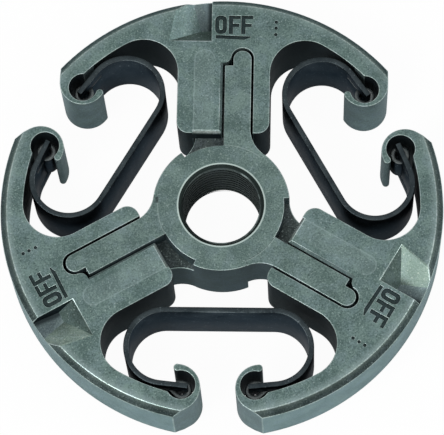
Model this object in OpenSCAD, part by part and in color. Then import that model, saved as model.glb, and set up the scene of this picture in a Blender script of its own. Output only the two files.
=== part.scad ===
// Three-shoe centrifugal clutch for the engine of a garden machine.
// It lies flat on its back: Z runs along the crankshaft axis and the marked face is up.
// Sector 1 points along +Y, and every outline below is drawn in that sector.

/* [Friction shoes] */
// Radius of the friction faces with the shoes drawn in
friction_r = 31.5; // [30.5:0.1:33]
// Distance from the hub's faces in to the faces of the shoes
shoe_inset = 0.1; // [0:0.05:0.3]
// Angle from the middle of a shoe to each of its ends
shoe_half_angle = 48.3; // [47:0.1:49.5]
// Rim between the friction face and the spring
rim_wall = 3.3; // [2.8:0.1:3.8]
// Wall of the stem on each side of the slot
stem_wall = 2.38; // [1.9:0.01:3]
// Clearance between the hub ring and the foot of the stem
foot_gap = 1.08; // [0.6:0.02:1.5]
// Radius of the outer corners of the stem's foot
foot_corner_r = 1.7; // [0.8:0.1:1.9]
// Radius of the hollow between the stem and the rim
pocket_r = 5; // [4:0.1:5.6]
// Width of the bevel along both edges of the friction face
rim_bevel = 0.95; // [0.4:0.05:1.3]
// Width of the bevel along the free edges of a web
web_bevel = 0.4; // [0.2:0.05:0.6]

/* [Spring hooks] */
// Radius of the round seat for the eye of a spring
seat_r = 2.04; // [1.9:0.01:2.3]
// Distance from the friction face in to the middle of a seat
seat_depth = 4.64; // [4.4:0.02:5.1]
// Angle from the middle of a shoe to a seat
seat_angle = 48.9; // [48.2:0.1:49.6]
// Wall of a hook round its seat
hook_wall = 1.34; // [1.2:0.02:1.6]
// Distance from the middle of a seat to the middle of its hook
hook_rise = 0.75; // [0.4:0.05:0.9]
// Direction of the hook's tip, below the line across the seat
hook_tip_angle = 18; // [8:1:30]

/* [Wrench pocket] */
// Distance from the shoe's middle line to the steep wall
pocket_wall_x = 1.9; // [1.5:0.1:2.5]
// Length of the pocket from the ramp's shallow end to the steep wall
pocket_length = 6.1; // [4.5:0.1:7.5]
// Depth of the pocket at its deepest
pocket_depth = 2.7; // [1.5:0.1:3.5]
// Distance from the friction face in to the inner side of the pocket
pocket_reach = 6.6; // [5:0.1:6.9]
// Slope of the ramp down to the floor
ramp_slope = 34; // [25:1:50]
// Angle by which the ramp is turned from the shoe's middle line
ramp_turn = 10; // [0:1:15]
// Slant of the pocket's inner side from the vertical
side_slant = 43; // [20:1:50]
// Slope of the floor up to the friction face
floor_slope = 18; // [5:1:22]

/* [Hub] */
// Thickness of the hub along the axis
hub_t = 10.8; // [9.6:0.1:12.4]
// Minor radius of the bore for its M12 x 1 left-hand thread
bore_r = 5.46; // [4.9:0.01:5.9]
// Outer radius of the bevel round each end of the bore
bore_bevel_r = 6.1; // [6:0.05:6.6]
// Outer radius of the hub ring
ring_r = 9.75; // [9.3:0.05:10.1]
// Distance from the ring's edge in to the raised face where an arm or a recess meets it
face_inset = 0.8; // [0.5:0.05:1.2]
// Height of the raised face above the arms
face_rise = 0.1; // [0.05:0.01:0.3]
// Radius of the hollow between an arm and the ring
root_r = 4.65; // [3:0.05:5.5]

/* [Stepped arms] */
// Width of an arm over both of its steps
arm_w = 7.94; // [7:0.02:8.6]
// Distance from the friction face in to the shoulder between an arm's two tips
shoulder_depth = 10.3; // [9.9:0.1:11.1]
// Width of each rounded tip
tip_w = 2.64; // [2.2:0.02:3]
// Distance that a tip reaches past the shoulder
tip_reach = 2.27; // [1.9:0.01:2.6]
// Depth of the step from the arm's face down to its other half
step_depth = 2.7; // [2:0.1:3.6]
// Distance of each step from the arm's middle line
step_offset = 0.14; // [0.1:0.02:0.4]
// Clearance between an arm and the walls of its slot
slide_gap = 0.3; // [0.15:0.01:0.4]
// Clearance between the arm's step and the web of the shoe
web_gap = 0.25; // [0.1:0.01:0.4]
// Clearance past the tips and the shoulder with the shoes drawn in
end_gap = 0.4; // [0.3:0.05:0.6]

/* [Springs] */
// Thickness of the spring band
band_t = 0.75; // [0.5:0.05:0.9]
// Distance from the hub's faces in to the edges of the band
band_inset = 0.35; // [0.2:0.05:0.9]
// Angle from a rolled eye to the middle of the band's bend, about the shaft
bend_turn = 9.2; // [8:0.1:10.4]
// Clearance between the bend and the rim
bend_gap = 0.4; // [0.3:0.05:0.6]
// Clearance between the bend and the stem
stem_gap = 1.74; // [1.5:0.02:2.2]
// Clearance between a rolled eye and its seat
eye_gap = 0.68; // [0.4:0.02:0.8]
// Length of the eye along the axis
eye_w = 5.3; // [4:0.1:7]
// Distance that the side tongues reach past the middle of the eye
tongue_reach = 0.95; // [0.5:0.05:1.3]

/* [Hidden] */
$fn = 96;
sectors = 3;
sector_angle = 360 / sectors;
cut = 1;
far = 2 * friction_r;
half_arm = arm_w / 2;
half_slot = half_arm + slide_gap;
half_stem = half_slot + stem_wall;
stem_w = 2 * half_stem;
stem_foot_y = ring_r + foot_gap;
face_r = ring_r - face_inset;
shoulder_y = friction_r - shoulder_depth;
half_tip = tip_w / 2;
tip_x = half_arm - half_tip;
tip_y = shoulder_y + tip_reach - half_tip;
tip_pocket_r = half_tip + slide_gap;
tip_pocket_y = shoulder_y + tip_reach + end_gap - tip_pocket_r;
tongue_r = tip_x - tip_pocket_r;
rim_r = friction_r - rim_wall;
shoe_t = hub_t - 2 * shoe_inset;
web_t = face_rise + step_depth - web_gap - shoe_inset;
step_z = face_rise + step_depth;
pocket_x = half_stem + pocket_r;
pocket_y = sqrt(pow(rim_r - pocket_r, 2) - pow(pocket_x, 2));
root_x = half_arm + root_r;
root_y = sqrt(pow(ring_r + root_r, 2) - pow(root_x, 2));
root_angle = atan2(root_x, root_y);
side_y = friction_r - pocket_reach;
valley_y = side_y + pocket_depth * tan(side_slant);
lip_depth = pocket_depth - (friction_r + cut - valley_y) * tan(floor_slope);
hook_r = seat_r + hook_wall;
eye_r = seat_r - eye_gap;
seat_axis_r = friction_r - seat_depth;
seat_x = seat_axis_r * sin(seat_angle);
seat_y = seat_axis_r * cos(seat_angle);
eye_z = (hub_t - eye_w) / 2;
eye_angle = sector_angle / 2 - seat_angle;
bend_angle = eye_angle + bend_turn;
stem_side = sin(sector_angle / 2 - bend_angle);
bend_reach = rim_r - bend_gap - band_t / 2;
bend_r = (bend_reach * stem_side - half_stem - stem_gap - band_t / 2) / (1 + stem_side);
bend_x = (bend_reach - bend_r) * sin(bend_angle);
bend_y = (bend_reach - bend_r) * cos(bend_angle);
run_y = bend_y - bend_r;
eye_x = seat_axis_r * sin(eye_angle);
eye_y = seat_axis_r * cos(eye_angle);
eye_dx = eye_x - bend_x;
eye_dy = eye_y - bend_y;
end_run = sqrt(pow(eye_dx, 2) + pow(eye_dy, 2) - pow(bend_r, 2));
end_turn = atan2(eye_dy, eye_dx) - atan2(end_run, bend_r);
steel = [0.42, 0.49, 0.47];
spring_steel = [0.15, 0.18, 0.21];

// Copies its children into every sector
module every_sector() {
    for (i = [0 : sectors - 1]) rotate(i * sector_angle) children();
}

// Draws its children and their mirror image across the sector's middle line
module both_sides() {
    children();
    mirror([1, 0]) children();
}

// Turns a piece over, front to back, about the sector's middle line
module turned_over(thickness) {
    translate([0, 0, thickness]) rotate([0, 180, 0]) children();
}

// Right half of an arm in plan, with its rounded tip and the hollow at its root
module half_arm_plan() {
    square([half_arm, shoulder_y]);
    translate([tip_x - half_tip, 0]) square([tip_w, tip_y]);
    translate([tip_x, tip_y]) circle(half_tip);
    difference() {
        polygon([[0, root_y], [root_x, root_y], ring_r * [sin(root_angle), cos(root_angle)], [0, 0]]);
        translate([root_x, root_y]) circle(root_r);
    }
}

// The hub at mid thickness: the ring and three full arms
module hub_plan() {
    circle(ring_r);
    every_sector() both_sides() half_arm_plan();
}

// What the front level of the hub lacks: the left half of each arm and the ring beside it
module hub_recess_plan() {
    every_sector() difference() {
        polygon([[0, 0], far * [-sin(root_angle), cos(root_angle)], [step_offset, far], [step_offset, 0]]);
        circle(face_r);
    }
}

// The raised face in plan: round the bore, and out to the ring's edge between the arms
module raised_face_plan() {
    circle(face_r);
    difference() {
        circle(ring_r);
        every_sector() both_sides() polygon([[0, 0], [0, far], far * [sin(root_angle), cos(root_angle)]]);
    }
}

// One outer level of the hub, from the step up to the faces of the arms
module hub_level() {
    translate([0, 0, hub_t - step_z]) linear_extrude(step_depth) difference() {
        hub_plan();
        hub_recess_plan();
    }
}

// Bevel round the mouth of the bore
module bore_bevel() {
    bevel = bore_bevel_r - bore_r;
    translate([0, 0, hub_t - bevel]) cylinder(h = bevel + cut, r1 = bore_r, r2 = bore_bevel_r + cut);
}

// Sintered hub with three arms, each stepped to the right in front and to the left behind
module hub() {
    color(steel) difference() {
        union() {
            linear_extrude(hub_t) raised_face_plan();
            translate([0, 0, step_z]) linear_extrude(hub_t - 2 * step_z) hub_plan();
            hub_level();
            turned_over(hub_t) hub_level();
        }
        translate([0, 0, -cut]) cylinder(h = hub_t + 2 * cut, r = bore_r);
        bore_bevel();
        turned_over(hub_t) bore_bevel();
    }
}

// Left hook in plan: the end of the rim, curled round the seat with a rounded tip
module hook_plan() {
    corner = (friction_r - rim_bevel / 2) * [-sin(shoe_half_angle), cos(shoe_half_angle)];
    mid = [-seat_x, seat_y + hook_rise];
    lip = tip_lip();
    tip = [cos(hook_tip_angle), -sin(hook_tip_angle)];
    difference() {
        union() {
            translate(mid) circle(hook_r);
            polygon([corner, mid - [hook_r, 0], mid, rim_r * [-sin(seat_angle), cos(seat_angle)]]);
        }
        translate([-seat_x, seat_y]) circle(seat_r);
        intersection() {
            circle(rim_r);
            translate([-seat_x, seat_y])
                polygon([[0, 0], hook_r * 2 * tip, [far, far], [0, far]]);
        }
    }
    translate([-seat_x, seat_y] + (seat_r + lip / 2) * tip) circle(lip / 2);
}

// Thickness of the hook at its tip
function tip_lip() =
    let (across = hook_rise * sin(hook_tip_angle), off = hook_rise * cos(hook_tip_angle))
    sqrt(pow(hook_r, 2) - pow(off, 2)) - across - seat_r;

// Left half of the web between the stem and the rim, hollowed by the spring pocket
module shoulder_plan() {
    reach = (rim_r + rim_wall / 2) / (rim_r - pocket_r);
    inside_x = half_stem / 2;
    difference() {
        polygon([[-inside_x, pocket_y], [-pocket_x, pocket_y], reach * [-pocket_x, pocket_y],
            [-inside_x, rim_r]]);
        translate([-pocket_x, pocket_y]) circle(pocket_r);
    }
}

// The stem in plan, from its foot with round outer corners up into the rim
module stem_plan() {
    difference() {
        translate([-half_stem, stem_foot_y]) square([stem_w, rim_r - stem_foot_y]);
        both_sides() translate([half_stem - foot_corner_r, stem_foot_y + foot_corner_r]) difference() {
            translate([0, -foot_corner_r - cut]) square(foot_corner_r + cut);
            circle(foot_corner_r);
        }
    }
}

// The rim in plan, between the friction face and the springs
module rim_plan() {
    difference() {
        intersection() {
            circle(friction_r);
            polygon([[0, 0], far * [-sin(shoe_half_angle), cos(shoe_half_angle)],
                far * [sin(shoe_half_angle), cos(shoe_half_angle)]]);
        }
        circle(rim_r);
        both_sides() translate([-seat_x, seat_y]) circle(seat_r);
    }
}

// The shoe before its slot is cut
module shoe_blank() {
    linear_extrude(shoe_t) rim_plan();
    linear_extrude(shoe_t) stem_plan();
    both_sides() linear_extrude(shoe_t) shoulder_plan();
    both_sides() linear_extrude(shoe_t) hook_plan();
}

// The slot at mid thickness: the arm's outline with its clearances
module slot_plan() {
    difference() {
        union() {
            translate([-half_slot, 0]) square([2 * half_slot, tip_pocket_y]);
            both_sides() translate([tip_x, tip_pocket_y]) circle(tip_pocket_r);
        }
        translate([0, tongue_y()]) circle(tongue_r);
        translate([-tongue_r, tongue_y()]) square([2 * tongue_r, far]);
    }
}

// Distance from the axis to the middle of the tongue between the arm's tips
function tongue_y() = shoulder_y + end_gap + tongue_r;

// The slot where it opens to the front face, to the right of the web
module open_slot_plan() {
    intersection() {
        slot_plan();
        translate([step_offset - slide_gap, 0]) square([half_slot + slide_gap, far]);
    }
}

// Bevels along the foot and the inner edge of the front web
module web_bevels() {
    edge_x = step_offset - slide_gap;
    across = web_bevel * sqrt(2);
    edge_run = tongue_y() - tongue_r - stem_foot_y + cut;
    translate([edge_x, stem_foot_y - cut, shoe_t]) rotate([0, 45, 0])
        translate([-across / 2, 0, -across / 2]) cube([across, edge_run, across]);
    translate([-half_slot, stem_foot_y, shoe_t]) rotate([45, 0, 0])
        translate([0, -across / 2, -across / 2]) cube([half_slot + edge_x + cut, across, across]);
}

// Bevel along one edge of the friction face
module friction_bevel() {
    rotate_extrude() polygon([[friction_r - rim_bevel, shoe_t + cut], [friction_r - rim_bevel, shoe_t],
        [friction_r, shoe_t - rim_bevel], [friction_r + cut, shoe_t - rim_bevel],
        [friction_r + cut, shoe_t + cut]]);
}

// Pocket for the wrench that unscrews the clutch: a ramp, a steep wall and a slanted inner side
module wrench_pocket() {
    translate([0, 0, shoe_t]) intersection() {
        translate([-pocket_wall_x - far, 0, -far / 2]) cube(far);
        translate([-pocket_wall_x - pocket_length, side_y, 0]) rotate([90, 0, -ramp_turn])
            linear_extrude(2 * far, center = true) ramp_profile();
        translate([-far, 0, 0]) rotate([90, 0, 90]) linear_extrude(2 * far) side_profile();
    }
}

// The pocket seen along the shoe's middle line: the ramp and the flat at its deep end
module ramp_profile() {
    polygon([[-cut / tan(ramp_slope), cut], [pocket_depth / tan(ramp_slope), -pocket_depth],
        [far, -pocket_depth], [far, cut]]);
}

// The pocket seen across the shoe: the slanted side and the floor up to the friction face
module side_profile() {
    polygon([[side_y - cut * tan(side_slant), cut], [valley_y, -pocket_depth],
        [friction_r + cut, -lip_depth], [friction_r + cut, cut]]);
}

// Sintered shoe: its slot is open to the right in front and to the left behind
module shoe(sector) {
    color(steel) rotate(sector * sector_angle) translate([0, 0, shoe_inset]) difference() {
        shoe_blank();
        translate([0, 0, web_t]) linear_extrude(shoe_t - 2 * web_t) slot_plan();
        translate([0, 0, shoe_t / 2]) linear_extrude(shoe_t) open_slot_plan();
        turned_over(shoe_t) translate([0, 0, shoe_t / 2]) linear_extrude(shoe_t) open_slot_plan();
        web_bevels();
        turned_over(shoe_t) web_bevels();
        friction_bevel();
        turned_over(shoe_t) friction_bevel();
        wrench_pocket();
    }
}

// Right half of the band in plan, up to a given distance past the middle of the eye
module half_band_plan(past) {
    translate([0, run_y - band_t / 2]) square([bend_x, band_t]);
    translate([bend_x, bend_y]) difference() {
        circle(bend_r + band_t / 2);
        circle(bend_r - band_t / 2);
        polygon([[0, 0], [0, -far], [-far, -far], [-far, far], far * [cos(end_turn), sin(end_turn)]]);
    }
    translate([bend_x, bend_y] + bend_r * [cos(end_turn), sin(end_turn)]) rotate(end_turn + 90)
        translate([0, -band_t / 2]) square([end_run + past, band_t]);
}

// Flat spring band bent to a C, with a tongue rolled to an eye between two straight tongues at each end
module spring(sector) {
    color(spring_steel) rotate((sector + 0.5) * sector_angle) {
        for (z = [band_inset, hub_t - eye_z]) translate([0, 0, z])
            linear_extrude(eye_z - band_inset) both_sides() half_band_plan(tongue_reach);
        translate([0, 0, eye_z]) linear_extrude(eye_w) both_sides() difference() {
            union() {
                half_band_plan(-eye_r + band_t / 2);
                translate([eye_x, eye_y]) circle(eye_r);
            }
            translate([eye_x, eye_y]) circle(eye_r - band_t);
        }
    }
}

hub();
shoe(0);  // shoe_1
shoe(1);  // shoe_2
shoe(2);  // shoe_3
spring(0);  // spring_1
spring(1);  // spring_2
spring(2);  // spring_3
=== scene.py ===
import math

import bmesh
import bpy
from mathutils import Matrix, Vector


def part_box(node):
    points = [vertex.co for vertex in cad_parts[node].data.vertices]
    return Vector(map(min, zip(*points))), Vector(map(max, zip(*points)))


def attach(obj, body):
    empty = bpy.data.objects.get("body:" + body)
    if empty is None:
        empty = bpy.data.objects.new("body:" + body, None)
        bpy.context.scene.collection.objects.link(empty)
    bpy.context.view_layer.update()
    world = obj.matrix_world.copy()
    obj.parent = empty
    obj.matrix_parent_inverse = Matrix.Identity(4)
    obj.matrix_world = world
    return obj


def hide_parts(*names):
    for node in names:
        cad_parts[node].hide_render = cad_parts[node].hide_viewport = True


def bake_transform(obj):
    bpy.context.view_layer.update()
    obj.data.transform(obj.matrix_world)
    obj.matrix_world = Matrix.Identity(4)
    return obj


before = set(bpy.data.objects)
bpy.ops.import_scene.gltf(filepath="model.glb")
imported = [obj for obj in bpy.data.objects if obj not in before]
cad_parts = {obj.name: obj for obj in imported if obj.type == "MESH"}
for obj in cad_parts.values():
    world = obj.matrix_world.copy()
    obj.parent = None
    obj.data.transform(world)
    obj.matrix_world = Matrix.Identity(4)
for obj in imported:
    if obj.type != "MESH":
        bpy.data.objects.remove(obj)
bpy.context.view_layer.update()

# The camera of the photograph, found by fitting the clutch's outline: it looks down on the
# marked face from a little in front of it, and it is rolled by a few degrees.
mm = 0.001
photo_width = 444
focal_px = 3100.36
sensor_width = 36
view_height = math.radians(71.9497)
view_side = math.radians(5.9512)
view_roll = math.radians(-5.1296)
view_distance = 450 * mm
view_offset = (-0.1919 * mm, 1.5332 * mm)

toward = Vector((
    math.cos(view_height) * math.sin(view_side),
    -math.cos(view_height) * math.cos(view_side),
    math.sin(view_height),
))
level_right = Vector((0, 0, 1)).cross(toward).normalized()
level_up = toward.cross(level_right)
right = math.cos(view_roll) * level_right + math.sin(view_roll) * level_up
up = math.cos(view_roll) * level_up - math.sin(view_roll) * level_right
camera = bpy.data.objects.new("camera", bpy.data.cameras.new("camera"))
camera.data.sensor_fit = "HORIZONTAL"
camera.data.sensor_width = sensor_width
camera.data.lens = focal_px * sensor_width / photo_width
camera.data.clip_start = 10 * mm
camera.matrix_world = Matrix.Translation(
    right * view_offset[0] + up * view_offset[1] + toward * view_distance
) @ Matrix((right, up, toward)).transposed().to_4x4()
bpy.context.collection.objects.link(camera)
bpy.context.scene.camera = camera


# The hub is one piece of pressed and sintered steel. Its bore has a left-hand M12 x 1 thread,
# which screws onto the crankshaft, and handling has polished its edges.
hub_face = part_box("hub")[1].z
bore_radius = 5.46 * mm
bore_bevel_radius = 6.1 * mm
thread_radius = 6.0 * mm
thread_pitch = 1.0 * mm
thread_overrun = 1.5 * mm
thread_overlap = 0.12 * mm
raised_face_radius = 9.02 * mm
raised_face_step = 0.15 * mm
recess_depth = 0.5 * mm
flat_facing = 0.9
wall_facing = 0.3
sharp_edge = math.radians(30)
worn_edge = math.radians(38)
wear_width = 0.11 * mm
seam_width = 0.02 * mm


class Tone:
    """A socket in a node tree: its operators add the Math nodes that an expression needs."""

    def __init__(self, tree, socket=None):
        self.tree, self.socket = tree, socket

    def node(self, kind, settings=None, sockets=None, output=None):
        """Adds a node, sets its settings first and then its sockets, and gives one output."""
        made = self.tree.nodes.new(kind)
        for name, value in (settings or {}).items():
            setattr(made, name, value)
        for name, value in (sockets or {}).items():
            place = next(s for s in made.inputs if name in (s.identifier, s.name))
            if isinstance(value, Tone):
                self.tree.links.new(value.socket, place)
            else:
                place.default_value = value
        outputs = [s for s in made.outputs if output in (None, s.identifier, s.name)]
        return Tone(self.tree, outputs[0] if outputs else None)

    def maths(self, operation, *values):
        sockets = dict(zip(("Value", "Value_001", "Value_002"), values))
        return self.node("ShaderNodeMath", {"operation": operation}, sockets)

    def __add__(self, other): return self.maths("ADD", self, other)
    def __radd__(self, other): return self.maths("ADD", other, self)
    def __sub__(self, other): return self.maths("SUBTRACT", self, other)
    def __rsub__(self, other): return self.maths("SUBTRACT", other, self)
    def __mul__(self, other): return self.maths("MULTIPLY", self, other)
    def __rmul__(self, other): return self.maths("MULTIPLY", other, self)
    def __truediv__(self, other): return self.maths("DIVIDE", self, other)
    def __abs__(self): return self.maths("ABSOLUTE", self)

    def axis(self, name):
        """The X, Y or Z of a vector."""
        return self.node("ShaderNodeSeparateXYZ", None, {"Vector": self}, name)

    def step(self, low, high):
        """0 below low, 1 above high, and smooth between them."""
        settings = {"interpolation_type": "SMOOTHSTEP"}
        sockets = {"Value": self, "From Min": low, "From Max": high}
        return self.node("ShaderNodeMapRange", settings, sockets)

    def line(self, middle, core, edge):
        """1 up to core from the middle, 0 past edge, and smooth between them."""
        return 1 - abs(self - middle).step(core, edge)

    def mix(self, first, second):
        """The first colour where this is 0, and the second where it is 1."""
        sockets = {"Factor_Float": self, "A_Color": first, "B_Color": second}
        return self.node("ShaderNodeMix", {"data_type": "RGBA"}, sockets, "Result_Color")

    def noise(self, size, detail=2.0):
        """A noise, from 0 to 1, with patches of the given size on these coordinates."""
        sockets = {"Vector": self, "Scale": 1 / size, "Detail": detail}
        return self.node("ShaderNodeTexNoise", None, sockets, "Fac")


def new_finish(name):
    """A material with an empty tree."""
    material = bpy.data.materials.new(name)
    material.use_nodes = True
    material.node_tree.nodes.clear()
    return material, Tone(material.node_tree)


def sintered_steel(name, pale, deep, roughness, glints=0.4, pores=0.5, metal=0.85, extra=None):
    """Pressed powder steel: grey-green and grey-blue patches, fine speckle and dark pores."""
    material, start = new_finish(name)
    place = start.node("ShaderNodeTexCoord", output="Object")
    speckle = place.noise(0.22 * mm, 3.0)
    cloud = place.noise(3.2 * mm, 4.0)
    pore = place.noise(0.30 * mm, 1.0).step(0.64, 0.74)
    # Painted glints: small light flecks, highlights painted into the colour.
    glint = place.noise(0.26 * mm, 0.0).step(0.70, 0.78)
    tint = ((speckle - 0.5) * 1.9 + (cloud - 0.5) * 1.5 + 0.5).step(0.0, 1.0)
    bluish = (pale[0] * 0.97, pale[1] * 0.96, pale[2] * 1.03, 1)
    patch = place.noise(1.7 * mm, 2.0).step(0.42, 0.6)
    colour = (pore * pores).mix(tint.mix(deep, patch.mix(pale, bluish)), (0.03, 0.045, 0.045, 1))
    colour = (glint * glints).mix(colour, (0.62, 0.75, 0.72, 1))
    if extra:
        colour = extra(place, colour)
    bump = start.node("ShaderNodeBump", None, {
        "Strength": 0.35,
        "Distance": 0.03 * mm,
        "Height": speckle - pore * 0.6,
    })
    shader = start.node("ShaderNodeBsdfPrincipled", None, {
        "Base Color": colour,
        "Metallic": metal,
        "Specular IOR Level": 0.1,
        "Specular Tint": (0.45, 0.52, 0.54, 1),
        "Roughness": roughness + (speckle - 0.5) * 0.25 + (cloud - 0.5) * 0.2,
        "Normal": bump,
    })
    start.node("ShaderNodeOutputMaterial", None, {"Surface": shader})
    return material


def grown(name, build, sizes, material, path=None):
    """Builds a Geometry Nodes tree with named inputs, runs it once and gives the plain mesh."""
    tree = bpy.data.node_groups.new(name, "GeometryNodeTree")
    face = tree.interface
    face.new_socket("Geometry", in_out="INPUT", socket_type="NodeSocketGeometry")
    for label in sizes:
        face.new_socket(label, in_out="INPUT", socket_type="NodeSocketFloat")
    face.new_socket("Material", in_out="INPUT", socket_type="NodeSocketMaterial")
    face.new_socket("Geometry", in_out="OUTPUT", socket_type="NodeSocketGeometry")
    start = Tone(tree)
    entry = tree.nodes.new("NodeGroupInput")
    given = {socket.name: Tone(tree, socket) for socket in entry.outputs if socket.name}
    shape = build(start, given)
    whole = start.node("GeometryNodeRealizeInstances", None, {"Geometry": shape})
    sockets = {"Geometry": whole, "Material": given["Material"]}
    dressed = start.node("GeometryNodeSetMaterial", None, sockets)
    tree.links.new(dressed.socket, tree.nodes.new("NodeGroupOutput").inputs[0])

    holder = bpy.data.objects.new(name, path or bpy.data.meshes.new(name))
    bpy.context.collection.objects.link(holder)
    modifier = holder.modifiers.new(name, "NODES")
    modifier.node_group = tree
    for item in face.items_tree:
        if item.in_out == "INPUT" and item.name in sizes:
            modifier[item.identifier] = sizes[item.name]
        if item.in_out == "INPUT" and item.name == "Material":
            modifier[item.identifier] = material
    depsgraph = bpy.context.evaluated_depsgraph_get()
    mesh = bpy.data.meshes.new_from_object(holder.evaluated_get(depsgraph))
    holder.modifiers.remove(modifier)
    bpy.data.objects.remove(holder)
    return mesh


def linked(name, mesh):
    """A new object with this mesh, at the origin."""
    piece = bpy.data.objects.new(name, mesh)
    bpy.context.collection.objects.link(piece)
    return piece


def new_mesh(name, form):
    """The mesh of a finished form."""
    mesh = bpy.data.meshes.new(name)
    form.to_mesh(mesh)
    form.free()
    return mesh


def merged_copy(node, splits=()):
    """A copy of a solid's mesh with flat faces made whole, but split where they ring a bore."""
    form = bmesh.new()
    form.from_mesh(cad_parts[node].data)
    bmesh.ops.remove_doubles(form, verts=form.verts, dist=seam_width)
    bmesh.ops.dissolve_limit(
        form, angle_limit=math.radians(0.5), verts=form.verts, edges=form.edges
    )
    for across in splits:
        geometry = form.verts[:] + form.edges[:] + form.faces[:]
        bmesh.ops.bisect_plane(form, geom=geometry, dist=0.001 * mm, plane_no=across)
    return new_mesh(node, form)


def bake(piece, kind, settings):
    """Runs one modifier on a piece and keeps the result as its plain mesh."""
    modifier = piece.modifiers.new(kind, kind)
    for name, value in settings.items():
        setattr(modifier, name, value)
    depsgraph = bpy.context.evaluated_depsgraph_get()
    mesh = bpy.data.meshes.new_from_object(piece.evaluated_get(depsgraph))
    piece.modifiers.remove(modifier)
    piece.data = mesh


def cut_away(piece, cutter):
    """Cuts the cutter's shape out of a piece, with the cutter's finish on the new faces."""
    bake(piece, "BOOLEAN", {
        "operation": "DIFFERENCE",
        "solver": "EXACT",
        "use_self": True,
        "material_mode": "TRANSFER",
        "object": cutter,
    })
    bpy.data.objects.remove(cutter)


def finish_faces(mesh, finishes, pick):
    """Gives each face of a casting the finish that pick names for it."""
    names = list(finishes)
    for finish in finishes.values():
        mesh.materials.append(finish)
    for face in mesh.polygons:
        face.material_index = names.index(pick(face.center, face.normal))


def weigh_edges(mesh, wear):
    """Marks how much handling has worn each outer edge, from 0 to 1."""
    form = bmesh.new()
    form.from_mesh(mesh)
    weight = form.edges.layers.float.new("bevel_weight_edge")
    for edge in form.edges:
        if len(edge.link_faces) == 2 and edge.is_convex and edge.calc_face_angle() > worn_edge:
            edge[weight] = wear(edge)
    form.to_mesh(mesh)
    form.free()


def polish_edges(piece, finish):
    """Rounds the worn edges, with a finish of their own, and keeps the flat faces flat."""
    piece.data.materials.append(finish)
    bake(piece, "BEVEL", {
        "limit_method": "WEIGHT",
        "width": wear_width,
        "segments": 2,
        "use_clamp_overlap": False,
        "material": len(piece.data.materials) - 1,
    })
    piece.data.shade_smooth()
    piece.data.set_sharp_from_angle(angle=sharp_edge)
    bake(piece, "WEIGHTED_NORMAL", {"keep_sharp": True})


def thread_coil(start, given):
    """The groove of the left-hand thread: a trapezium swept along a helix round the shaft, with
    a floor an eighth of the pitch wide."""
    turns = given["Length"] / given["Pitch"]
    middle = (given["Inner radius"] + given["Outer radius"]) / 2
    line = start.node("GeometryNodeCurveSpiral", None, {
        "Resolution": 64,
        "Rotations": turns,
        "Start Radius": middle,
        "End Radius": middle,
        "Height": given["Length"],
        "Reverse": True,
    })
    level = start.node("GeometryNodeSetCurveNormal", {"mode": "Z_UP"}, {"Curve": line})
    profile = start.node("GeometryNodeCurvePrimitiveQuadrilateral", {"mode": "TRAPEZOID"}, {
        "Bottom Width": given["Pitch"] * 0.87,
        "Top Width": given["Pitch"] * 0.125,
        "Height": given["Outer radius"] - given["Inner radius"],
        "Offset": 0.0,
    })
    sockets = {"Curve": level, "Profile Curve": profile, "Fill Caps": True}
    groove = start.node("GeometryNodeCurveToMesh", None, sockets)
    drop = start.node("ShaderNodeCombineXYZ", None, {"Z": given["Start height"]})
    sockets = {"Geometry": groove, "Translation": drop}
    return start.node("GeometryNodeTransform", None, sockets)


def hub_part(spot, normal):
    """Which surface of the hub a face belongs to."""
    if abs(normal.z) < flat_facing:
        return "wall" if spot.xy.length > bore_bevel_radius else "bore"
    depth = hub_face - spot.z if normal.z > 0 else spot.z
    return "recess" if depth > recess_depth else "face"


def shaft_radius(place):
    """The distance of a point from the shaft's axis, in mm."""
    flat = place.node("ShaderNodeVectorMath", {"operation": "MULTIPLY"}, {
        "Vector": place,
        "Vector_001": (1, 1, 0),
    })
    length = flat.node("ShaderNodeVectorMath", {"operation": "LENGTH"}, {"Vector": flat}, "Value")
    return length / mm


def face_lines(place, colour):
    """The line round the bore's mouth, worn bright by rubbing, and a faint one where the raised
    face ends.
    """
    radius = shaft_radius(place)
    depth = (hub_face - place.axis("Z")) / mm
    mouth = radius.line(bore_bevel_radius / mm + 0.1, 0.07, 0.15)
    step = radius.line(raised_face_radius / mm, 0.05, 0.12) * depth.step(0.02, 0.08)
    kept = place.noise(3.5 * mm) * 0.8 + 0.5
    return (mouth * kept * 0.9 + step * 0.22).mix(colour, (0.60, 0.72, 0.68, 1))


def bore_line(place, colour):
    """The bore's bevel in painted shade, and the thin line where it ends and the thread begins."""
    from_bore = shaft_radius(place) - bore_radius / mm
    depth = (hub_face - place.axis("Z")) / mm
    at_mouth = 1 - depth.step(0.75, 0.9)
    # Painted shade: the bevel below the bore's mouth is darkened in its colour.
    painted_bevel_shade = from_bore.step(0.14, 0.26) * at_mouth * 0.8
    line = from_bore.line(0.09, 0.05, 0.11) * at_mouth
    kept = place.noise(2.2 * mm, 2.0).step(0.42, 0.58)
    shaded_colour = painted_bevel_shade.mix(colour, (0.010, 0.017, 0.015, 1))
    return (line * kept * 0.6).mix(shaded_colour, (0.35, 0.44, 0.42, 1))


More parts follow.
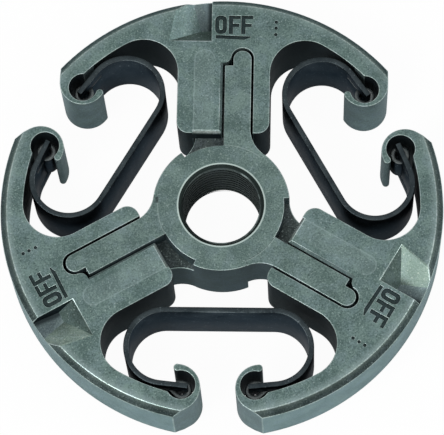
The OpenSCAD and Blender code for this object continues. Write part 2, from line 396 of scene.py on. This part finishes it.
thread_finish = sintered_steel(
    "thread_steel", (0.080, 0.102, 0.098, 1), (0.050, 0.065, 0.063, 1), 0.75, 0.0, 0.0, 0.1,
    bore_line
)
polished_steel = sintered_steel(
    "polished_edge_steel", (0.52, 0.63, 0.60, 1), (0.24, 0.33, 0.31, 1), 0.38, 0.5, 0.3
)
wall_finish = sintered_steel(
    "die_wall_steel", (0.155, 0.220, 0.232, 1), (0.076, 0.113, 0.122, 1), 0.42, 0.05, 0.2, 0.6
)
hub = linked("hub_casting", merged_copy("hub", ((1, 0, 0), (0, 1, 0))))
finish_faces(hub.data, {
    "face": sintered_steel(
        "hub_face_steel", (0.212, 0.298, 0.276, 1), (0.095, 0.146, 0.135, 1), 0.46, 0.20,
        extra=face_lines
    ),
    "wall": wall_finish,
    "bore": thread_finish,
    "recess": sintered_steel(
        "hub_recess_steel", (0.130, 0.162, 0.158, 1), (0.042, 0.055, 0.054, 1), 0.5, 0.3, metal=0.3
    ),
}, hub_part)
coil = linked("thread_cutter", grown("thread_groove", thread_coil, {
    "Pitch": thread_pitch,
    "Length": hub_face + 2 * thread_overrun,
    "Inner radius": bore_radius - thread_overlap,
    "Outer radius": thread_radius,
    "Start height": -thread_overrun,
}, thread_finish))
cut_away(hub, coil)


def hub_wear(edge):
    """How much an edge of the hub is polished: not in the bore or at the raised face's step."""
    if min(vert.co.xy.length for vert in edge.verts) < bore_bevel_radius + seam_width:
        return 0
    heights = [vert.co.z for face in edge.link_faces for vert in face.verts]
    return 0 if max(heights) - min(heights) < raised_face_step else 1


weigh_edges(hub.data, hub_wear)
polish_edges(hub, polished_steel)
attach(hub, "hub")
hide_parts("hub")


# The three shoes are sintered steel too, all from one mould. Each has the word OFF and an arrow
# pressed into its face, for the way that the clutch unscrews, and is worn bright at the edges.
shoe_names = ("shoe_1", "shoe_2", "shoe_3")
shoe_back, shoe_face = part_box("shoe_1")[0].z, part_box("shoe_1")[1].z
face_slack = 0.01 * mm
friction_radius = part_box("shoe_1")[1].y
rim_bevel = 0.95 * mm
face_radius = friction_radius - rim_bevel
slot_side = 3.6 * mm
slot_foot, slot_head = 11 * mm, 24 * mm
slot_end_side, slot_end_middle = 1.3 * mm, 0.3 * mm
slot_end_foot, slot_end_head = 21.5 * mm, 22.4 * mm
web_end_radius = 22 * mm
back_slot_head = (-2.79, 22.12, 0)
back_slot_radius = 1.45
pocket_wall = -2.2
hook_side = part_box("shoe_1")[1].x
hook_start = 18.6 * mm
hook_inner_start, hook_inner_top = 15 * mm, 21 * mm
hook_wall_foot, hook_wall_head = 18.5 * mm, 20.3 * mm
hook_corner_depth = 0.72 * mm
seat_middle = Vector((20.24, 17.66)) * mm
seat_reach = 2.35 * mm
mark_depth = 0.22 * mm
mark_stroke = 0.57 * mm
letter_height = 2.8 * mm
letter_foot = 26.05 * mm
letter_width = 1.68 * mm
letter_left = (-1.38 * mm, 0.60 * mm, 2.40 * mm)
ring_corner, ring_hole_corner = 0.72 * mm, 0.3 * mm
arrow_line = (Vector((-1.24, 25.59, 0)) * mm, Vector((3.75, 25.40, 0)) * mm)
arrow_stroke = 0.25 * mm
arrow_head = 0.9 * mm
dot_spots = ((7.45, 27.9), (7.42, 26.97), (7.38, 25.97))
dot_radius = 0.24 * mm


def prism(form, outline, hole=None):
    """Adds a mark's cutter: its outline, or a ring between two, from the mark's floor up."""
    low, high = shoe_face - mark_depth, shoe_face + mark_depth
    rims = [[form.verts.new((x, y, z)) for x, y in outline] for z in (low, high)]
    if hole:
        holes = [[form.verts.new((x, y, z)) for x, y in hole] for z in (low, high)]
    count = len(outline)
    for i in range(count):
        j = (i + 1) % count
        form.faces.new((rims[0][i], rims[0][j], rims[1][j], rims[1][i]))
        if hole:
            form.faces.new((holes[0][j], holes[0][i], holes[1][i], holes[1][j]))
            form.faces.new((rims[1][i], rims[1][j], holes[1][j], holes[1][i]))
            form.faces.new((rims[0][j], rims[0][i], holes[0][i], holes[0][j]))
    if not hole:
        form.faces.new(rims[1])
        form.faces.new(rims[0][::-1])


def rounded_box(left, foot, width, height, radius, steps=8):
    """The outline of a box with round corners, anticlockwise."""
    outline = []
    for corner in range(4):
        x = left + (width - radius if corner in (0, 3) else radius)
        y = foot + (height - radius if corner in (0, 1) else radius)
        for i in range(steps + 1):
            angle = math.radians(90) * (corner + i / steps)
            outline.append((x + radius * math.cos(angle), y + radius * math.sin(angle)))
    return outline


def letter_f(left, foot):
    """The outline of an F, anticlockwise."""
    bar, right_end = 0.85 * mark_stroke, left + letter_width
    top, middle = foot + letter_height, foot + 0.56 * letter_height
    return [
        (left, foot), (left + mark_stroke, foot), (left + mark_stroke, middle - bar),
        (right_end - 0.2 * mm, middle - bar), (right_end - 0.2 * mm, middle),
        (left + mark_stroke, middle), (left + mark_stroke, top - bar),
        (right_end, top - bar), (right_end, top), (left, top),
    ]


def marks_cutter(finish):
    """The marks in the face of the first shoe, as one cutter."""
    form = bmesh.new()
    left = letter_left[0]
    inset = mark_stroke
    prism(
        form,
        rounded_box(left, letter_foot, letter_width, letter_height, ring_corner),
        rounded_box(left + inset, letter_foot + inset, letter_width - 2 * inset,
                    letter_height - 2 * inset, ring_hole_corner),
    )
    for left in letter_left[1:]:
        prism(form, letter_f(left, letter_foot))
    tail, tip = arrow_line
    across = Vector((0, arrow_stroke, 0))
    head = tip - Vector((arrow_head, 0, 0))
    arrow = (tail - across, head - across, tip + across * 0.5, tip + across, tail + across)
    prism(form, [point.xy[:] for point in arrow])
    for x, y in dot_spots:
        prism(form, rounded_box(x * mm - dot_radius, y * mm - dot_radius, 2 * dot_radius,
                                2 * dot_radius, dot_radius * 0.98, 4))
    mesh = new_mesh("marks", form)
    mesh.materials.append(finish)
    return linked("marks_cutter", mesh)


def shoe_part(spot, normal):
    """Which surface of the first shoe a face belongs to."""
    radius, side = spot.xy.length, abs(spot.x)
    at_rim = radius > face_radius
    outward = normal.xy.dot(spot.xy) / radius
    if at_rim and outward > 0.98:
        return "friction"
    if at_rim and outward > 0.6 and abs(normal.z) > wall_facing:
        return "bevel"
    if abs(normal.z) < wall_facing:
        if side < slot_side and slot_foot < spot.y < slot_head:
            return "slot wall"
        if (Vector((side, spot.y)) - seat_middle).length < seat_reach:
            return "inner wall"
        at_hook = side > hook_start or side > hook_inner_start and spot.y < hook_inner_top
        return "hook wall" if at_hook or outward > 0.5 else "inner wall"
    is_chamfer = 0.69 < abs(normal.z) < 0.72
    if is_chamfer and radius < web_end_radius:
        return "web end bevel" if abs(normal.y) > 0.5 else "web bevel"
    is_sunk = shoe_face - spot.z > 0.05 * mm
    if is_sunk and normal.z > 0:
        return "ramp" if normal.x > 0.3 else "ramp side" if normal.y > 0.3 else "ramp foot"
    return "face"


def mould_place(place):
    """A point's place in the mould, in mm: the same on all three shoes."""
    return place.node("ShaderNodeAttribute", {"attribute_name": "shoe_plan"}, None, "Vector")


def pocket_shade(place, colour):
    """The pocket's painted shade: darker toward its steep wall, and dark at that wall's foot."""
    from_wall = pocket_wall - mould_place(place).axis("X")
    # Painted shade: darker toward the steep wall and darkest at its foot.
    wall_shade = (1 - from_wall.step(1.0, 2.5)) * 0.3 + (1 - from_wall.step(0.0, 0.6)) * 0.65
    return wall_shade.mix(colour, (0.03, 0.042, 0.045, 1))


def ramp_shade(place, colour):
    """The ramp's tone: the pocket's shade, with a warmer, darker tint on the two shoes in front.
    """
    return place.node("ShaderNodeMix", {"data_type": "RGBA", "blend_type": "MULTIPLY"}, {
        "Factor_Float": 1 - (place.axis("Y") / mm).step(0.0, 20.0),
        "A_Color": pocket_shade(place, colour),
        "B_Color": (0.95, 0.89, 0.81, 1),
    }, "Result_Color")


def bevel_shade(place, colour):
    """The rim bevel's tone: lighter where it meets the face, by rubbing and a painted highlight,
    and dark at its outer edge, a painted shade.
    """
    past_face = shaft_radius(place) - face_radius / mm
    # Lighter next to the face: partly rubbing, partly a painted highlight.
    rub_and_highlight = (1 - past_face.step(0.0, 0.55)) * 0.30
    return rub_and_highlight.mix(colour, (0.32, 0.42, 0.38, 1))


def face_shades(place, colour):
    """Shades of the shoe's face: a faint line over the outline of the slot that opens to the back,
    a band along the rim that is lighter from rubbing and a painted highlight, painted strongest in
    front, and painted shade that darkens each hook."""
    plan = mould_place(place)
    # Painted shade that darkens each hook toward its end.
    hook_shade = abs(plan.axis("X")).step(18.0, 24.0) * 0.13
    to_rim = face_radius / mm - shaft_radius(place)
    # A lighter band along the rim: partly rubbing, partly a painted highlight that is painted
    # stronger toward the front.
    rub_and_highlight = (1 - to_rim.step(0.05, 1.15)) * (0.27 - place.axis("Y") / mm * 0.003)
    at = plan.node("ShaderNodeVectorMath", {"operation": "SUBTRACT"}, {
        "Vector": plan,
        "Vector_001": back_slot_head,
    })
    across, along = at.axis("X"), at.axis("Y")
    beyond = along.maths("MAXIMUM", along, 0.0)
    square = across * across + beyond * beyond
    from_edge = square.maths("SQRT", square) - back_slot_radius
    left_off = across.step(0.6, 1.2) * (1 - along.step(0.0, 0.3))
    line = from_edge.line(0.0, 0.04, 0.14) * (1 - left_off) * 0.24
    inside = (1 - from_edge.step(-0.07, 0.01)) * 0.10
    shaded_colour = hook_shade.mix(colour, (0.04, 0.06, 0.058, 1))
    return (line + inside + rub_and_highlight).mix(shaded_colour, (0.42, 0.53, 0.53, 1))


def fill_hook_corners(mesh):
    """Makes each hook's outer wall straight, from its round back up to the end of the rim."""
    face_end = math.sqrt(face_radius**2 - hook_side**2)
    rim_end = math.sqrt(friction_radius**2 - hook_side**2)
    form = bmesh.new()
    form.from_mesh(mesh)
    for vert in form.verts:
        x, y, z = vert.co
        if abs(x) < hook_side - hook_corner_depth or y < hook_wall_foot:
            continue
        if min(z - shoe_back, shoe_face - z) < face_slack:
            y = min(y, face_end)
        else:
            y = rim_end if y > hook_wall_head else y
            depth = math.hypot(hook_side, y) - face_radius
            z = shoe_face - depth if z > shoe_face / 2 else shoe_back + depth
        vert.co = math.copysign(hook_side, x), y, z
    bmesh.ops.remove_doubles(form, verts=form.verts, dist=seam_width)
    form.to_mesh(mesh)
    form.free()


# The marks' floors and walls are dark: dirt in them, and painted shade.
mark_finish = sintered_steel(
    "mark_floor_steel", (0.05, 0.073, 0.073, 1), (0.022, 0.034, 0.034, 1), 0.6, 0.0, 0.3
)
web_bevel_finish = sintered_steel(
    "web_bevel_steel", (0.15, 0.21, 0.20, 1), (0.08, 0.12, 0.115, 1), 0.5, 0.2, metal=0.1
)
shoe = linked("shoe_casting", merged_copy("shoe_1"))
fill_hook_corners(shoe.data)
finish_faces(shoe.data, {
    "face": sintered_steel(
        "shoe_face_steel", (0.205, 0.294, 0.275, 1), (0.091, 0.143, 0.133, 1), 0.46, 0.28,
        extra=face_shades
    ),
    "hook wall": sintered_steel(
        "hook_wall_steel", (0.212, 0.298, 0.300, 1), (0.106, 0.155, 0.159, 1), 0.42, 0.1, 0.2, 0.6
    ),
    # The inner walls and the hooks' seats are a much darker copy of the hook walls' steel: painted
    # shade.
    "inner wall": sintered_steel(
        "pocket_wall_steel", (0.028, 0.040, 0.045, 1), (0.012, 0.018, 0.021, 1), 0.42, 0.0, 0.2,
        0.6
    ),
    "slot wall": sintered_steel(
        "slot_wall_steel", (0.12, 0.16, 0.16, 1), (0.06, 0.085, 0.085, 1), 0.45, 0.1, 0.2, 0.4
    ),
    "web bevel": web_bevel_finish,
    # The bevel at the web's end is pale: a painted highlight.
    "web end bevel": sintered_steel(
        "web_end_steel", (0.62, 0.71, 0.66, 1), (0.38, 0.46, 0.43, 1), 0.38, 0.5, 0.2
    ),
    # The pocket's facets are one steel in lit and shaded copies: the ramp is painted lighter than
    # the face, and its side darker, as painted shade.
    "ramp": sintered_steel(
        "ramp_steel", (0.316, 0.450, 0.430, 1), (0.164, 0.248, 0.237, 1), 0.46, 0.45, 0.3, 0.45,
        ramp_shade
    ),
    "ramp side": sintered_steel(
        "ramp_side_steel", (0.118, 0.172, 0.156, 1), (0.055, 0.084, 0.075, 1), 0.5, 0.3, metal=0.4
    ),
    "ramp foot": sintered_steel(
        "ramp_foot_steel", (0.23, 0.305, 0.305, 1), (0.12, 0.165, 0.17, 1), 0.5, 0.25, 0.3, 0.5,
        pocket_shade
    ),
    "friction": sintered_steel(
        "friction_face_steel", (0.315, 0.430, 0.430, 1), (0.20, 0.292, 0.293, 1), 0.40, 0.1, 0.3
    ),
    # The rim bevel's dark colour is painted shade.
    "bevel": sintered_steel(
        "rim_bevel_steel", (0.105, 0.145, 0.14, 1), (0.045, 0.068, 0.066, 1), 0.45, 0.2,
        extra=bevel_shade
    ),
}, shoe_part)
cut_away(shoe, marks_cutter(mark_finish))


def shoe_wear(edge):
    """How much an edge of a shoe is polished: little in the marks and round the slot's end."""
    met = [finishes[face.material_index] for face in edge.link_faces]
    if mark_finish in met:
        return 0.5 if all(vert.co.z > shoe_face - face_slack for vert in edge.verts) else 0
    if web_bevel_finish in met:
        start, end = (vert.co for vert in edge.verts)
        return 1 if abs(end.x - start.x) > abs(end.y - start.y) else 0.4
    sides = [abs(vert.co.x) for vert in edge.verts]
    at_end = all(slot_end_foot < vert.co.y < slot_end_head for vert in edge.verts)
    if at_end and max(sides) < slot_end_side:
        return 0 if min(sides) < slot_end_middle else 0.3
    return 1


finishes = list(shoe.data.materials)
weigh_edges(shoe.data, shoe_wear)
plan = shoe.data.attributes.new("shoe_plan", "FLOAT_VECTOR", "POINT")
for spot, vert in zip(plan.data, shoe.data.vertices):
    spot.vector = vert.co / mm
for i, name in enumerate(shoe_names):
    piece = linked(name + "_casting", shoe.data.copy())
    piece.data.transform(Matrix.Rotation(math.radians(120 * i), 4, "Z"))
    polish_edges(piece, polished_steel)
    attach(piece, name)
    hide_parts(name)
bpy.data.objects.remove(shoe)


# The three springs are flat bands of blued spring steel, bent to a C. The middle tongue of each
# end is rolled to an eye, which sits with the two side tongues in a shoe's hook.
band_thickness = 0.75 * mm
band_round = 0.14 * mm
band_low, band_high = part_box("spring_1")[0].z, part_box("spring_1")[1].z
eye_width = 5.3 * mm
eye_radius = 1.43 * mm
tongue_reach = 0.95 * mm
slit_length = 4.6 * mm
slit_width = 0.12 * mm
eye_lead = 1.8 * mm
eye_roll = math.radians(262)
seat_axis_radius = 26.86 * mm
seat_angle = math.radians(60 - 48.9)
bend_angle = math.radians(20.3)
bend_reach = 27.425 * mm
arm_side = 3.97 * mm
slide_gap = 0.3 * mm
stem_wall = 2.38 * mm
stem_gap = 1.74 * mm
stem_clearance = arm_side + slide_gap + stem_wall + stem_gap + band_thickness / 2
stem_side = math.sin(math.radians(60) - bend_angle)
bend_radius = (bend_reach * stem_side - stem_clearance) / (1 + stem_side)
bend_middle = Vector((math.sin(bend_angle), math.cos(bend_angle))) * (bend_reach - bend_radius)
eye_middle = Vector((math.sin(seat_angle), math.cos(seat_angle))) * seat_axis_radius
to_eye = eye_middle - bend_middle
end_run = math.sqrt(to_eye.length_squared - bend_radius**2)
end_turn = math.atan2(to_eye.y, to_eye.x) - math.atan2(end_run, bend_radius)
end_way = Vector((-math.sin(end_turn), math.cos(end_turn)))
end_side = Vector((math.cos(end_turn), math.sin(end_turn)))


def band_line():
    """The middle of the band from the spring's middle to the start of its straight end."""
    points = [Vector((0, bend_middle.y - bend_radius))]
    sweep = end_turn + math.radians(90)
    steps = 48
    for i in range(steps + 1):
        angle = -math.radians(90) + sweep * i / steps
        points.append(bend_middle + bend_radius * Vector((math.cos(angle), math.sin(angle))))
    return points


def side_tongue_line():
    return band_line() + [eye_middle + end_way * tongue_reach]


def eye_tongue_line():
    """The middle tongue's line: it leaves the band's line and rolls round to an eye."""
    ring = eye_radius - band_thickness / 2
    points = band_line()
    steps = 12
    for i in range(steps + 1):
        share = i / steps
        side = ring * (1 - math.cos(math.pi * share)) / 2
        points.append(eye_middle - end_way * eye_lead * (1 - share) + end_side * side)
    steps = 30
    for i in range(1, steps + 1):
        angle = eye_roll * i / steps
        points.append(
            eye_middle + ring * (end_side * math.cos(angle) + end_way * math.sin(angle))
        )
    return points


def path_curve(name, points, side):
    """A curve through these points, mirrored where side is -1."""
    curve = bpy.data.curves.new(name, "CURVE")
    curve.dimensions = "3D"
    line = curve.splines.new("POLY")
    line.points.add(len(points) - 1)
    for spot, point in zip(line.points, points):
        spot.co = (side * point.x, point.y, 0, 1)
    return curve


def band_strip(start, given):
    """A stretch of the band along its line, with its edges rounded as rolled strip has them."""
    line = start.node("GeometryNodeTrimCurve", {"mode": "LENGTH"}, {
        "Curve": given["Geometry"],
        "Start_001": given["From"],
        "End_001": given["To"],
    })
    level = start.node("GeometryNodeSetCurveNormal", {"mode": "Z_UP"}, {"Curve": line})
    profile = start.node("GeometryNodeCurvePrimitiveQuadrilateral", None, {
        "Width": given["Thickness"],
        "Height": given["Width"],
    })
    sockets = {"Curve": profile, "Radius": given["Edge radius"], "Count": 2, "Limit Radius": True}
    rounded = start.node("GeometryNodeFilletCurve", {"mode": "POLY"}, sockets)
    sockets = {"Curve": level, "Profile Curve": rounded, "Fill Caps": True}
    strip = start.node("GeometryNodeCurveToMesh", None, sockets)
    lift = start.node("ShaderNodeCombineXYZ", None, {"Z": given["Middle height"]})
    return start.node("GeometryNodeTransform", None, {"Geometry": strip, "Translation": lift})


def blued_steel(name, pale, deep, glints=0.35):
    """Spring steel, blued almost black in the furnace, with soft clouds and a fine speckle."""
    material, start = new_finish(name)
    place = start.node("ShaderNodeTexCoord", output="Object")
    cloud = place.noise(2.5 * mm, 3.0)
    speckle = place.noise(0.25 * mm, 2.0)
    tint = ((cloud - 0.5) * 1.6 + (speckle - 0.5) * 0.8 + 0.45).step(0.0, 1.0)
    # Painted glints: small light flecks, highlights painted into the colour.
    glint = place.noise(0.3 * mm, 1.0).step(0.66, 0.78)
    colour = tint.mix(deep, pale)
    colour = (glint * glints).mix(colour, (0.45, 0.55, 0.60, 1))
    sockets = {"Strength": 0.3, "Distance": 0.02 * mm, "Height": speckle}
    bump = start.node("ShaderNodeBump", None, sockets)
    shader = start.node("ShaderNodeBsdfPrincipled", None, {
        "Base Color": colour,
        "Metallic": 1.0,
        "Specular Tint": (0.42, 0.44, 0.46, 1),
        "Roughness": 0.36 + (cloud - 0.5) * 0.3,
        "Normal": bump,
    })
    start.node("ShaderNodeOutputMaterial", None, {"Surface": shader})
    return material


def line_length(points):
    return sum((b - a).length for a, b in zip(points, points[1:]))


spring_finish = blued_steel(
    "blued_spring_steel", (0.070, 0.092, 0.110, 1), (0.036, 0.050, 0.062, 1)
)
edge_finish = blued_steel(
    "cut_edge_steel", (0.058, 0.074, 0.080, 1), (0.026, 0.035, 0.040, 1), 0.2
)
# The band's rounded corners get a pale finish: a painted highlight.
corner_highlight_finish = blued_steel("corner_highlight_steel", (0.50, 0.58, 0.60, 1), (0.11, 0.14, 0.15, 1))
# The edges of the eye and of the slits get a lighter finish: partly a shinier cut edge, partly
# painted light against the shade in the hook's seat.
eye_finish = blued_steel("eye_edge_steel", (0.19, 0.21, 0.21, 1), (0.10, 0.115, 0.115, 1))
tongue_length = line_length(side_tongue_line())
eye_length = line_length(eye_tongue_line())
slit_start = tongue_length - slit_length
side_width = (band_high - band_low - eye_width) / 2 - slit_width
strips = (
    ("band", side_tongue_line, 0, slit_start, band_high - band_low, (band_low + band_high) / 2),
    ("low_tongue", side_tongue_line, slit_start, tongue_length, side_width,
     band_low + side_width / 2),
    ("high_tongue", side_tongue_line, slit_start, tongue_length, side_width,
     band_high - side_width / 2),
    ("eye_tongue", eye_tongue_line, slit_start, eye_length, eye_width,
     (band_low + band_high) / 2),
)


def half_spring(side):
    """One half of a spring, from its middle to its eye, as one mesh."""
    form = bmesh.new()
    for name, points, from_length, to_length, width, height in strips:
        mesh = grown(name, band_strip, {
            "From": from_length,
            "To": to_length,
            "Width": width,
            "Thickness": band_thickness,
            "Edge radius": band_round,
            "Middle height": height,
        }, spring_finish, path_curve(name, points(), side))
        form.from_mesh(mesh)
        bpy.data.meshes.remove(mesh)
    whole = new_mesh("half_spring", form)
    for finish in (spring_finish, edge_finish, corner_highlight_finish, eye_finish):
        whole.materials.append(finish)
    for face in whole.polygons:
        flat = abs(face.normal.z)
        depth = min(abs(face.center.z - band_low), abs(face.center.z - band_high))
        if flat > flat_facing:
            face.material_index = 1 if depth < band_round else 3
        elif flat > wall_facing and depth < band_round:
            face.material_index = 2
    whole.shade_smooth()
    whole.set_sharp_from_angle(angle=sharp_edge)
    return whole


for i in range(3):
    turn = Matrix.Rotation(math.radians(120 * i + 60), 4, "Z")
    for side, word in ((1, "right"), (-1, "left")):
        half = linked(f"spring_{i + 1}_{word}", half_spring(side))
        half.data.transform(turn)
        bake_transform(half)
        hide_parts(f"spring_{i + 1}")


# The stage: a white floor that keeps the clutch's shadow, a plain dome of light, a large soft
# lamp overhead and a weaker one at the right. None of it is part of the clutch.
floor_size = 1.5
floor_drop = 0.02 * mm
form = bmesh.new()
bmesh.ops.create_grid(form, x_segments=1, y_segments=1, size=floor_size)
bmesh.ops.translate(form, verts=form.verts, vec=(0, 0, -floor_drop))
floor = linked("floor", new_mesh("floor", form))
material, start = new_finish("white_floor")
seen = start.node("ShaderNodeLightPath", output="Is Camera Ray")
mirrored = start.node("ShaderNodeLightPath", output="Is Glossy Ray")
through = start.node("ShaderNodeLightPath", output="Is Transmission Ray")
paper = start.node("ShaderNodeBsdfDiffuse", None, {"Color": (0.9, 0.9, 0.9, 1)})
glow = start.node("ShaderNodeEmission", None, {"Color": (1, 1, 1, 1), "Strength": 1.0})
shown = seen * 0.96
share = shown.maths("MAXIMUM", shown, (mirrored + through) * 0.25)
sockets = {"Fac": share, "Shader": paper, "Shader_001": glow}
surface = start.node("ShaderNodeMixShader", None, sockets)
start.node("ShaderNodeOutputMaterial", None, {"Surface": surface})
floor.data.materials.append(material)

world = bpy.data.worlds.new("plain_dome")
bpy.context.scene.world = world
world.use_nodes = True
world.node_tree.nodes.clear()
sky = Tone(world.node_tree)
way = sky.node("ShaderNodeTexCoord", output="Generated")
dome = way.axis("Z").step(0.3, 0.95).mix((0.16, 0.16, 0.16, 1), (0.92, 0.92, 0.92, 1))
light = sky.node("ShaderNodeBackground", None, {"Color": dome, "Strength": 1.0})
sky.node("ShaderNodeOutputWorld", None, {"Surface": light})

for name, size, energy, spot in (
    ("overhead_lamp", 0.5, 4.0, (-0.42, -0.45, 0.69)),
    ("side_lamp", 0.4, 1.4, (0.85, -0.10, 0.40)),
):
    lamp = bpy.data.objects.new(name, bpy.data.lights.new(name, "AREA"))
    lamp.data.shape = "DISK"
    lamp.data.size = size
    lamp.data.energy = energy
    lamp.location = spot
    lamp.rotation_euler = (-lamp.location).to_track_quat("-Z", "Y").to_euler()
    bpy.context.collection.objects.link(lamp)
bpy.context.scene.view_settings.view_transform = "Standard"
